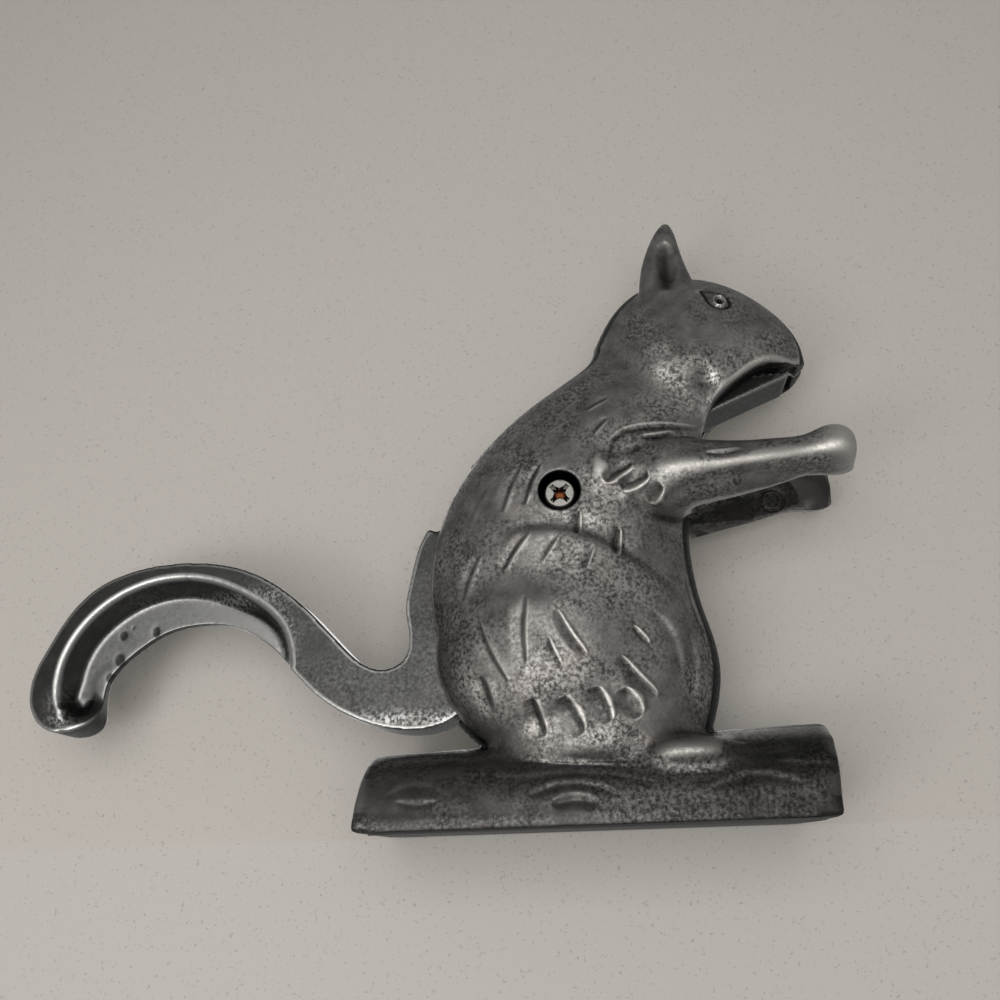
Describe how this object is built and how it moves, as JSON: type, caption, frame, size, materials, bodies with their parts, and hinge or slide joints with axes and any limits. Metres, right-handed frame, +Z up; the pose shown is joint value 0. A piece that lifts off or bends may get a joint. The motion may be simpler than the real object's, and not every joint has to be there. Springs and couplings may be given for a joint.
{
  "type": "lever nutcracker press",
  "caption": "Figural lever nutcracker: two cast half shells form a sitting squirrel on a log, and a curled tail lever between them works the toothed jaw in its mouth.",
  "frame": {"origin": "middle of the log base's underside, on the seam between the two half castings", "axes": "+X towards the squirrel's nose, +Y towards the squirrel's left side (away from the screw head), +Z up"},
  "size_m": [0.2637, 0.056, 0.2007],
  "materials": {
    "cast_body": "dark patinated casting, mottled, worn bright on the high places",
    "cast_lever": "smooth grey casting with small pits, polished at the hand grip",
    "steel_fastener": "plated steel, rust in the recess"
  },
  "bodies": {
    "figure": {"right_body_half": "cast_body", "left_body_half": "cast_body", "pivot_screw": "steel_fastener", "lock_washer": "steel_fastener", "pivot_nut": "steel_fastener", "case_screws": "steel_fastener", "locating_pins": "steel_fastener"},
    "lever": {"tail_lever": "cast_lever"}
  },
  "joints": [
    {"name": "tail_swing", "type": "hinge", "parent": "figure", "child": "lever", "pos_m": [-0.0043, 0, 0.0983], "axis": [0, 1, 0], "range_deg": [0, 28]}
  ]
}
